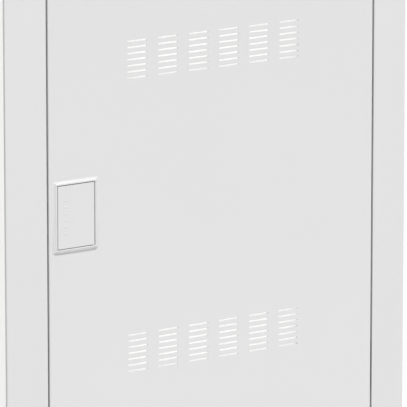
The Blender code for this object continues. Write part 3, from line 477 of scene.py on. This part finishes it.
# ---- The door ----------------------------------------------------------------------------------
def build_door():
    """The folded door leaf with its vent slots, latch hole and hinge notches."""
    half_x, half_z = DOOR_HIGH.x, DOOR_HIGH.z
    depth = DOOR_HIGH.y
    profile = fillet(
        [
            (-PAN_FLAT, FRONT, 0),
            (0, FRONT, BEND),
            (0, depth, 0.0005),
            (-SHEET, depth, 0.0005),
            (-SHEET, FRONT + SHEET, BEND - SHEET),
            (-PAN_FLAT, FRONT + SHEET, 0),
        ]
    )
    door = folded("door_skin", half_x, half_z, profile, corner=BEND)
    bm = bmesh.new()
    for row_z in (VENT_ROW_Z, -VENT_ROW_Z):
        for group in range(GROUPS_IN_ROW):
            x = (group - (GROUPS_IN_ROW - 1) / 2) * GROUP_PITCH
            for slot in range(SLOTS_IN_GROUP):
                z = row_z + (slot - (SLOTS_IN_GROUP - 1) / 2) * SLOT_PITCH
                add_stadium(bm, x, z, SLOT_LENGTH, SLOT_HEIGHT, FRONT - 0.002, FRONT + 0.004)
    retainer_low, retainer_high, _ = span("latch_retainer")
    rim = 0.0035
    low = (retainer_low.x + rim, FRONT - 0.003, retainer_low.z + rim)
    high = (retainer_high.x - rim, FRONT + 0.004, retainer_high.z - rim)
    add_block(bm, low, high)
    notch_half, past = 0.024, 0.001
    for name in ("upper_hinge_arm", "lower_hinge_arm"):
        z = span(name)[2].z
        low = (half_x - SHEET - past, FRONT + SHEET + 0.0002, z - notch_half)
        add_block(bm, low, (half_x + past, depth + past, z + notch_half))
    door = cut("door_skin", door, mesh_from("door_tool", bm))
    add_piece("door_skin", door, POWDER_COAT, "door", "door_leaf", slot="light_grey_paint")


def build_filter_mats():
    """The fibre mats behind the vents: slabs with an uneven, felted surface."""
    rows, columns, depth, lumps = 14, 64, 0.0005, 260
    for name in ("upper", "lower"):
        low, high, middle = span(f"{name}_filter_mat")
        bm = bmesh.new()
        rings = []
        for i in range(columns + 1):
            x = low.x + (high.x - low.x) * i / columns
            levels = [low.z + (high.z - low.z) * k / rows for k in range(rows + 1)]
            ring = [Vector((x, low.y, z)) for z in levels]
            ring += [Vector((x, high.y, z)) for z in reversed(levels)]
            for point in ring:
                lift = depth * noise.noise(point * lumps)
                point.y += lift if point.y > middle.y else abs(lift)
            rings.append(ring)
        loft(bm, rings)
        mat = mesh_from(f"{name}_fibre_mat", bm, sharp=60)
        cad = f"{name}_filter_mat"
        add_piece(f"{name}_fibre_mat", mat, FIBRE, "door", cad, slot="filter_mat")


def build_vent_lights():
    """A lamp between the door's sheet and each mat, so that the vents show the mat as white."""
    for name in ("upper", "lower"):
        low, high, middle = span(f"{name}_filter_mat")
        data = bpy.data.lights.new(f"{name}_vent_lamp", "AREA")
        data.shape = "RECTANGLE"
        data.size = high.x - low.x
        data.size_y = high.z - low.z
        data.energy = VENT_LIGHT
        lamp = bpy.data.objects.new(f"{name}_vent_lamp", data)
        bpy.context.scene.collection.objects.link(lamp)
        aim(lamp, (middle.x, FRONT + SHEET + CLEARANCE, middle.z), (middle.x, 0, middle.z))
        lamp.visible_camera = False
        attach(lamp, "door")


def build_door_fixings():
    """Rivets along the stiffeners, and screws in the hinge plates."""
    rivets = []
    rows, from_edge, flange = 8, 0.0017, 0.001
    for name in ("door_stiffener_left", "door_stiffener_right"):
        low, high, _ = span(name)
        for row in range(rows):
            z = low.z + (high.z - low.z) * (row + 0.5) / rows
            for x in (low.x + from_edge, high.x - from_edge):
                rivets.append(((x, low.y + flange, z), (0, 1, 0)))
    add_fixings("door_rivets", add_rivet, rivets, 0.0014, "door")
    screws = []
    plate = FRONT + SHEET + CLEARANCE + SHEET
    for name in ("upper_hinge_plate", "lower_hinge_plate"):
        low, _, middle = span(name)
        for z in (middle.z - 0.010, middle.z + 0.010):
            for x in (low.x + 0.006, low.x + 0.017):
                screws.append(((x, plate, z), (0, 1, 0)))
    add_fixings("hinge_screws", add_screw, screws, 0.0028, "door")


# ---- The latch ---------------------------------------------------------------------------------
def build_bezel():
    """The latch's housing: a rim whose face slopes in a hollow curve, and a sleeve behind it."""
    hole_x = (PADDLE_HIGH.x - PADDLE_LOW.x) / 2 + PADDLE_GAP
    hole_z = (PADDLE_HIGH.z - PADDLE_LOW.z) / 2 + PADDLE_GAP
    out = (BEZEL_HIGH.x - BEZEL_LOW.x) / 2 - hole_x
    out_z = (BEZEL_HIGH.z - BEZEL_LOW.z) / 2 - hole_z
    face, edge, seat = BEZEL_LOW.y, FRONT - 0.0001, FRONT - CLEARANCE
    profile = [(0, BEZEL_HIGH.y), (0, face + 0.0002), (0.0002, face)]
    steps = 6
    for step in range(steps + 1):
        left = 1 - step / steps
        profile.append((out - RIM_SLOPE * left, edge + (face - edge) * left**RIM_HOLLOW))
    profile += [(out - 0.0008, edge), (out - 0.0010, seat)]
    profile += [(RIM_WALL, seat), (RIM_WALL, BEZEL_HIGH.y)]
    bezel = folded(
        "bezel_shell",
        hole_x,
        hole_z,
        profile,
        closed=True,
        centre=(BEZEL_MIDDLE.x, BEZEL_MIDDLE.z),
    )
    for vertex in bezel.vertices:  # the rim is widest above the paddle and narrowest below it
        side = math.copysign(1, vertex.co.z - BEZEL_MIDDLE.z)
        beyond = side * (vertex.co.z - BEZEL_MIDDLE.z) - hole_z
        if beyond > RIM_WALL + 0.0001:
            reach = out_z + side * RIM_RAISED
            vertex.co.z = BEZEL_MIDDLE.z + side * (hole_z + beyond * reach / out)
    add_piece("bezel_shell", bezel, WHITE_PLASTIC, "door", "latch_bezel", slot="white_plastic")


def build_paddle_relief():
    """Low grip bars on the left of the paddle's face."""
    face, x = PADDLE_LOW.y, PADDLE_LOW.x + 0.0095
    bar = rounded_rectangle(0.0030, 0.0008, 0.0007, 4)
    top = rounded_rectangle(0.0028, 0.0006, 0.0005, 4)
    levels = ((bar, face + 0.0001), (bar, face - 0.0001), (top, face - 0.0002))
    count, pitch = 6, 0.0065
    bm = bmesh.new()
    for row in range(count):
        z = PADDLE_MIDDLE.z + (row - (count - 1) / 2) * pitch
        loft(bm, [[(x + u, y, z + v) for u, v in ring] for ring, y in levels])
    relief = mesh_from("paddle_grip", bm)
    add_piece("paddle_grip", relief, WHITE_PLASTIC, "latch", slot="white_plastic")


# ---- The trim frame and the recess box ---------------------------------------------------------
def build_trim():
    """The trim frame, with a soft fold at each edge and a mitre at each corner."""
    outer, thin = FRAME_FACE, 0.0012
    edge = FRONT + FRAME_DROP
    wall = edge + FRAME_RIM
    profile = fillet(
        [
            (-LIP_WIDTH, LIP_FRONT, 0),
            (0, LIP_FRONT, 0.0008),
            (0, FRONT, 0.0008),
            (outer, edge, BEND),
            (outer, wall, 0),
            (outer - thin, wall, 0),
            (outer - thin, edge + thin, 0),
            (SHEET, FRONT + SHEET, 0),
            (SHEET, LIP_FRONT + SHEET, 0.0015),
            (-LIP_WIDTH, LIP_FRONT + SHEET, 0),
        ],
        steps=3,
    )
    half_x = DOOR_HIGH.x + DOOR_GAP
    half_z = DOOR_HIGH.z + DOOR_GAP
    trim = folded("trim_skin", half_x, half_z, profile, closed=True)
    bm = bmesh.new()
    for number in range(1, 5):
        _, _, middle = span(f"frame_screw_{number}")
        place = (middle.x, LIP_FRONT - 0.002, middle.z)
        lathe(bm, place, (0, 1, 0), ((SCREW_HOLE, 0), (SCREW_HOLE, 0.006)))
    trim = cut("trim_skin", trim, mesh_from("trim_tool", bm))
    add_piece("trim_skin", trim, POWDER_COAT, "enclosure", "wall_frame", slot="light_grey_paint")


def build_recess_box():
    """The steel box, with rounded folds, knock-outs, keyholes in its back and its cable hole."""
    half_x, half_z = SHELL_HIGH.x, SHELL_HIGH.z
    front, back = SHELL_LOW.y, SHELL_HIGH.y
    profile = fillet(
        [
            (-PAN_FLAT, back, 0),
            (0, back, 0.0025),
            (0, front, 0.0020),
            (-SHELL_RETURN, front, 0.0003),
            (-SHELL_RETURN, front + SHEET, 0.0003),
            (-SHEET, front + SHEET, 0.0006),
            (-SHEET, back - SHEET, 0.0012),
            (-PAN_FLAT, back - SHEET, 0),
        ]
    )
    box = folded("recess_box", half_x, half_z, profile, corner=0.003)
    bm = bmesh.new()
    _, _, gland = span("cable_gland")
    hole = ((GLAND_HOLE, 0), (GLAND_HOLE, 0.02))
    lathe(bm, (gland.x, gland.y, half_z - 0.01), (0, 0, 1), hole)
    for number in range(1, 5):
        _, _, middle = span(f"frame_screw_{number}")
        place = (middle.x, front - 0.003, middle.z)
        lathe(bm, place, (0, 1, 0), ((SCREW_HOLE, 0), (SCREW_HOLE, 0.008)))
    for sx in (-1, 1):
        for sz in (-1, 1):
            x, z = sx * KEYHOLE_X, sz * KEYHOLE_Z
            add_stadium(bm, x, z + 0.006, 0.0052, 0.022, back - 0.004, back + 0.002)
            lathe(bm, (x, back - 0.004, z - 0.003), (0, 1, 0), ((0.0050, 0), (0.0050, 0.006)))
    inner, outer, deep, past = 0.0118, 0.0130, -0.0006, 0.001
    groove = ((inner, deep), (inner, past), (outer, past), (outer, deep))
    ends = [((x, KNOCKOUT_Y, sz * half_z), (0, 0, sz)) for x in KNOCKOUTS_X for sz in (-1, 1)]
    sides = [((sx * half_x, KNOCKOUT_Y, z), (sx, 0, 0)) for z in KNOCKOUTS_Z for sx in (-1, 1)]
    for place, axis in ends + sides:
        lathe(bm, place, axis, groove, segments=48, closed=True)
    box = cut("recess_box", box, mesh_from("recess_tool", bm))
    return add_piece(
        "recess_box", box, INSIDE_COAT, "enclosure", "enclosure_shell", slot="inside_paint"
    )


def build_side_fill(box):
    """A lamp from the left that lights only the recess box, and hardly anything but its left side."""
    data = bpy.data.lights.new("side_fill", "SUN")
    data.energy = SIDE_FILL_STRENGTH
    data.angle = math.radians(SIDE_FILL_SPREAD)
    lamp = bpy.data.objects.new("side_fill", data)
    bpy.context.scene.collection.objects.link(lamp)
    aim(lamp, direction(SIDE_FILL_AZIMUTH, SIDE_FILL_ELEVATION), (0, 0, 0))
    receivers = bpy.data.collections.new("side_fill_receivers")
    receivers.objects.link(box)
    lamp.light_linking.receiver_collection = receivers


# ---- Inside the box ----------------------------------------------------------------------------
def build_battery(name):
    """One block's ribbed case and stepped lid, with its vent plugs, label and polarity rings."""
    low, high, middle = span(f"{name}_battery_case")
    half_x, half_y = (high.x - low.x) / 2, (high.y - low.y) / 2
    profile = fillet(
        [
            (-PAN_FLAT, low.z, 0),
            (0, low.z, 0.0030),
            (0, high.z - 0.016, 0.0005),
            (-0.0012, high.z - 0.015, 0.0005),
            (-0.0012, high.z, 0.0010),
            (-PAN_FLAT, high.z, 0),
        ]
    )
    case = folded(
        "case", half_x, half_y, profile, corner=0.006, steps=5, centre=(middle.x, middle.y), up=True
    )
    bm = bmesh.new()
    pitch, wide, deep = 0.0215, 0.0155, 0.0028  # the grooves between the ribs
    in_front, on_side = 12, 4
    foot, top = low.z + 0.016, high.z - 0.026
    for groove in range(in_front):
        x = middle.x + (groove - (in_front - 1) / 2) * pitch
        for sy in (-1, 1):
            add_groove(bm, (x, middle.y + sy * half_y), (wide, deep), foot, top)
    for groove in range(on_side):
        y = middle.y + (groove - (on_side - 1) / 2) * pitch
        for sx in (-1, 1):
            add_groove(bm, (middle.x + sx * half_x, y), (deep, wide), foot, top)
    case = cut("case", case, mesh_from("case_tool", bm))
    add_piece(
        f"{name}_ribbed_case",
        case,
        BATTERY_CASE,
        "enclosure",
        f"{name}_battery_case",
        slot="battery_case",
        rounding=0.0005,
    )
    build_lid(name)


def add_groove(bm, centre, size, low_z, high_z):
    """An upright block, to cut a groove with."""
    low = (centre[0] - size[0] / 2, centre[1] - size[1] / 2, low_z)
    add_block(bm, low, (centre[0] + size[0] / 2, centre[1] + size[1] / 2, high_z))


def build_lid(name):
    """A block's lid with a ledge for the terminals, six vent plugs and a ring at each terminal."""
    low, high, middle = span(f"{name}_battery_lid")
    ledge_y, ledge_z = low.y + 0.036, high.z - 0.010
    outline = [
        (low.y, low.z),
        (high.y, low.z),
        (high.y, high.z),
        (ledge_y, high.z),
        (ledge_y, ledge_z),
        (low.y, ledge_z),
    ]
    bm = bmesh.new()
    loft(bm, [[(x, y, z) for y, z in outline] for x in (low.x, high.x)])
    lid = mesh_from("lid", bm)
    cells, cell = 6, 0.040
    plugs = [middle.x + (i - (cells - 1) / 2) * cell for i in range(cells)]
    plug_y = (ledge_y + high.y) / 2
    recess = ((0.0105, 0), (0.0105, 0.004))
    bm = bmesh.new()
    for x in plugs:
        lathe(bm, (x, plug_y, high.z - 0.0015), (0, 0, 1), recess, segments=32)
    seam, from_end, past = 0.0006, 0.012, 0.001
    for front, back in ((ledge_y + 0.006, ledge_y + 0.0075), (high.y - 0.0095, high.y - 0.008)):
        corner = (low.x + from_end, front, high.z - seam)
        add_block(bm, corner, (high.x - from_end, back, high.z + past))
    lid = cut("lid", lid, mesh_from("lid_tool", bm))
    add_piece(
        f"{name}_stepped_lid",
        lid,
        BATTERY_LID,
        "enclosure",
        f"{name}_battery_lid",
        slot="battery_lid",
        rounding=0.0008,
    )
    bm = bmesh.new()
    profile = ((0.0098, 0), (0.0098, 0.0018), (0.0090, 0.0026), (0.0042, 0.0026), (0.0040, 0.0010))
    for x in plugs:
        lathe(bm, (x, plug_y, high.z - 0.0014), (0, 0, 1), profile, hexagonal=2, segments=36)
    plug = mesh_from("plugs", bm)
    add_piece(f"{name}_vent_plugs", plug, BATTERY_CASE, "enclosure", slot="battery_case")
    ring = ((0.0112, 0), (0.0132, 0), (0.0130, 0.0005), (0.0114, 0.0005))
    for polarity, material, slot in (
        ("positive", RED_PLASTIC, "red_plastic"),
        ("negative", BLUE_PLASTIC, "blue_plastic"),
    ):
        _, _, terminal = span(f"{name}_terminal_{polarity}")
        bm = bmesh.new()
        place = (terminal.x, terminal.y, ledge_z)
        lathe(bm, place, (0, 0, 1), ring, segments=48, closed=True)
        mesh = mesh_from("ring", bm)
        add_piece(f"{name}_{polarity}_ring", mesh, material, "enclosure", slot=slot)
    build_label(name)


def build_label(name):
    """A plain film label with a coloured band, above the strap on the block's front."""
    low, _, middle = span(f"{name}_battery_case")
    _, strap, _ = span(f"{name}_battery_strap")
    half_x, half_z, film = 0.045, 0.017, 0.0003
    centre_z = strap.z + 0.006 + half_z
    for part, reach, tall, shift, rise, material, slot in (
        ("label", half_x, half_z, 0, 0, LABEL, "switch_plastic"),
        ("label_band", half_x - 0.003, 0.004, half_z - 0.008, 0.0001, BLUE_PLASTIC, "blue_plastic"),
    ):
        face = low.y - film - rise
        profile = [(0, low.y + 0.0002), (0, face), (-0.0006, face - 0.0001)]
        place = (middle.x, centre_z + shift)
        mesh = folded("label", reach, tall, profile, corner=0.002, centre=place)
        add_piece(f"{name}_{part}", mesh, material, "enclosure", slot=slot)


def build_lug_sleeves():
    """Shrink sleeves over the lugs' barrels and the ends of their leads."""
    barrel = ((0.0030, 0), (0.0037, 0.0005), (0.0039, 0.004))
    profile = (*barrel, (0.0046, 0.009), (0.0046, 0.0135), (0.0040, 0.014))
    for lug, towards, material, slot in (
        ("link_lug_lower", 1, BLACK_CABLE, "black_lead"),
        ("link_lug_upper", 1, BLACK_CABLE, "black_lead"),
        ("negative_lug", 1, BLACK_CABLE, "black_lead"),
        ("positive_lug", -1, RED_CABLE, "red_lead"),
    ):
        low, high, middle = span(lug)
        end = high.x if towards > 0 else low.x
        place = Vector((end - towards * 0.008, middle.y, low.z + 0.0032))
        bm = bmesh.new()
        lathe(bm, place, (towards, 0, 0), profile)
        add_piece(f"{lug}_sleeve", mesh_from("sleeve", bm, 50), material, "enclosure", slot=slot)


def build_rail():
    """The mounting rail, with its row of slots."""
    low, high, middle = span("mounting_rail")
    sheet, half_web = 0.001, 0.0135
    outline = [
        (low.y, low.z),
        (low.y, middle.z - half_web + sheet),
        (high.y - sheet, middle.z - half_web + sheet),
        (high.y - sheet, middle.z + half_web - sheet),
        (low.y, middle.z + half_web - sheet),
        (low.y, high.z),
        (low.y + sheet, high.z),
        (low.y + sheet, middle.z + half_web),
        (high.y, middle.z + half_web),
        (high.y, middle.z - half_web),
        (low.y + sheet, middle.z - half_web),
        (low.y + sheet, low.z),
    ]
    bm = bmesh.new()
    loft(bm, [[(x, y, z) for y, z in outline] for x in (low.x, high.x)])
    rail = mesh_from("rail", bm)
    bm = bmesh.new()
    pitch = 0.025
    count = int((high.x - low.x) / pitch)
    for i in range(count):
        x = middle.x + (i - (count - 1) / 2) * pitch
        add_stadium(bm, x, middle.z, 0.015, 0.0062, high.y - 0.003, high.y + 0.002)
    rail = cut("rail", rail, mesh_from("rail_tool", bm))
    add_piece(
        "slotted_rail",
        rail,
        ZINC,
        "enclosure",
        "mounting_rail",
        slot="zinc_steel",
        rounding=0.0002,
    )


def build_box_fixings():
    """Screws in the shelf's ends, the straps' feet, the rail and the switchgear's clamps."""
    screws = []
    shelf_low, shelf_high, _ = span("battery_shelf")
    for side, x in ((1, shelf_low.x + SHEET), (-1, shelf_high.x - SHEET)):
        for y in (-0.095, -0.030):
            screws.append(((x, y, shelf_low.z + 0.009), (side, 0, 0)))
    for name in ("upper_battery_strap", "lower_battery_strap"):
        _, high, middle = span(name)
        screws.append(((high.x - 0.010, high.y - 0.0012, middle.z), (0, -1, 0)))
    add_fixings("box_screws", add_screw, screws, 0.0036, "enclosure")
    _, rail_high, rail = span("mounting_rail")
    standoffs = [span(name)[2].x for name in ("rail_standoff_left", "rail_standoff_right")]
    screws = [((x, rail_high.y - 0.001, rail.z), (0, -1, 0)) for x in standoffs]
    add_fixings("rail_screws", add_screw, screws, 0.0045, "enclosure")
    clamps = []
    _, _, switch = span("battery_switch")
    for x in (switch.x - 0.009, switch.x + 0.009):
        for z in (switch.z - 0.032, switch.z + 0.032):
            clamps.append(((x, SWITCH_CLAMP_Y, z), (0, -1, 0)))
    for name in ("outgoing_terminal_positive", "outgoing_terminal_negative", "earth_terminal"):
        _, _, block = span(name)
        for z in (block.z - 0.021, block.z + 0.021):
            clamps.append(((block.x, TERMINAL_CLAMP_Y, z), (0, -1, 0)))
    add_fixings("clamp_screws", add_screw, clamps, 0.0025, "enclosure")


def dress_cad_nodes():
    """Gives every node that still shows its slot's finish, and rounds its edges."""
    for subpart in frame["record"]["subparts"]:
        node = nodes[subpart["node"]]
        if node.hide_render:
            continue
        material, width = FINISHES[subpart["material_slot"]]
        for slot in node.material_slots:
            slot.material = material
        soften(node, width)


# ---- Camera, light and floor -------------------------------------------------------------------
def direction(azimuth, elevation):
    """The unit vector from the object towards a viewer or lamp. Azimuth 0 is in front of the door."""
    a, e = math.radians(azimuth), math.radians(elevation)
    return Vector((math.sin(a) * math.cos(e), -math.cos(a) * math.cos(e), math.sin(e)))


def aim(thing, place, towards):
    """Puts a camera or lamp at a place, and turns it towards another."""
    thing.location = place
    thing.rotation_euler = (Vector(towards) - Vector(place)).to_track_quat("-Z", "Y").to_euler()


def build_camera():
    """A long lens, from the left and a little above."""
    data = bpy.data.cameras.new("camera")
    data.lens = CAMERA_LENS
    data.sensor_width = SENSOR
    data.clip_end = 60.0
    camera = bpy.data.objects.new("camera", data)
    bpy.context.scene.collection.objects.link(camera)
    target = Vector(CAMERA_TARGET)
    place = target + CAMERA_DISTANCE * direction(CAMERA_AZIMUTH, CAMERA_ELEVATION)
    aim(camera, place, target)
    bpy.context.scene.camera = camera


def build_light():
    """A soft key from high in front of the door, and an even white surround."""
    key = bpy.data.lights.new("key", "SUN")
    key.energy = KEY_STRENGTH
    key.angle = math.radians(KEY_SPREAD)
    lamp = bpy.data.objects.new("key", key)
    bpy.context.scene.collection.objects.link(lamp)
    aim(lamp, direction(0, KEY_ELEVATION), (0, 0, 0))

    world = bpy.data.worlds.new("studio")
    bpy.context.scene.world = world
    world.use_nodes = True
    tree = world.node_tree
    background = tree.nodes["Background"]
    background.inputs["Color"].default_value = (1, 1, 1, 1)
    background.inputs["Strength"].default_value = AMBIENT
    seen = tree.nodes.new("ShaderNodeBackground")
    seen.inputs["Strength"].default_value = BACKDROP
    seen.inputs["Color"].default_value = (1, 1, 1, 1)
    path = tree.nodes.new("ShaderNodeLightPath")
    mix = tree.nodes.new("ShaderNodeMixShader")
    tree.links.new(path.outputs["Is Camera Ray"], mix.inputs["Fac"])
    tree.links.new(background.outputs["Background"], mix.inputs[1])
    tree.links.new(seen.outputs["Background"], mix.inputs[2])
    tree.links.new(mix.outputs["Shader"], tree.nodes["World Output"].inputs["Surface"])


def build_floor():
    """A wide white floor, which sends some of the key light back up."""
    bm = bmesh.new()
    bmesh.ops.create_circle(bm, cap_ends=True, segments=96, radius=FLOOR_RADIUS)
    floor = bpy.data.objects.new("floor", mesh_from("floor", bm))
    bpy.context.scene.collection.objects.link(floor)
    floor.location = (0, 0, FLOOR_LEVEL)
    floor.data.materials.append(
        surface("floor", (0.86, 0.86, 0.86), 0.8, mottle=0.01, mottle_scale=0.6, grain_scale=60)
    )


# ---- The whole scene ---------------------------------------------------------------------------
bpy.context.scene.view_settings.view_transform = "Standard"
build_camera()
build_light()
build_floor()
build_door()
build_filter_mats()
build_vent_lights()
build_door_fixings()
build_bezel()
build_paddle_relief()
build_trim()
build_side_fill(build_recess_box())
for block in ("lower", "upper"):
    build_battery(block)
build_lug_sleeves()
build_rail()
build_box_fixings()
dress_cad_nodes()
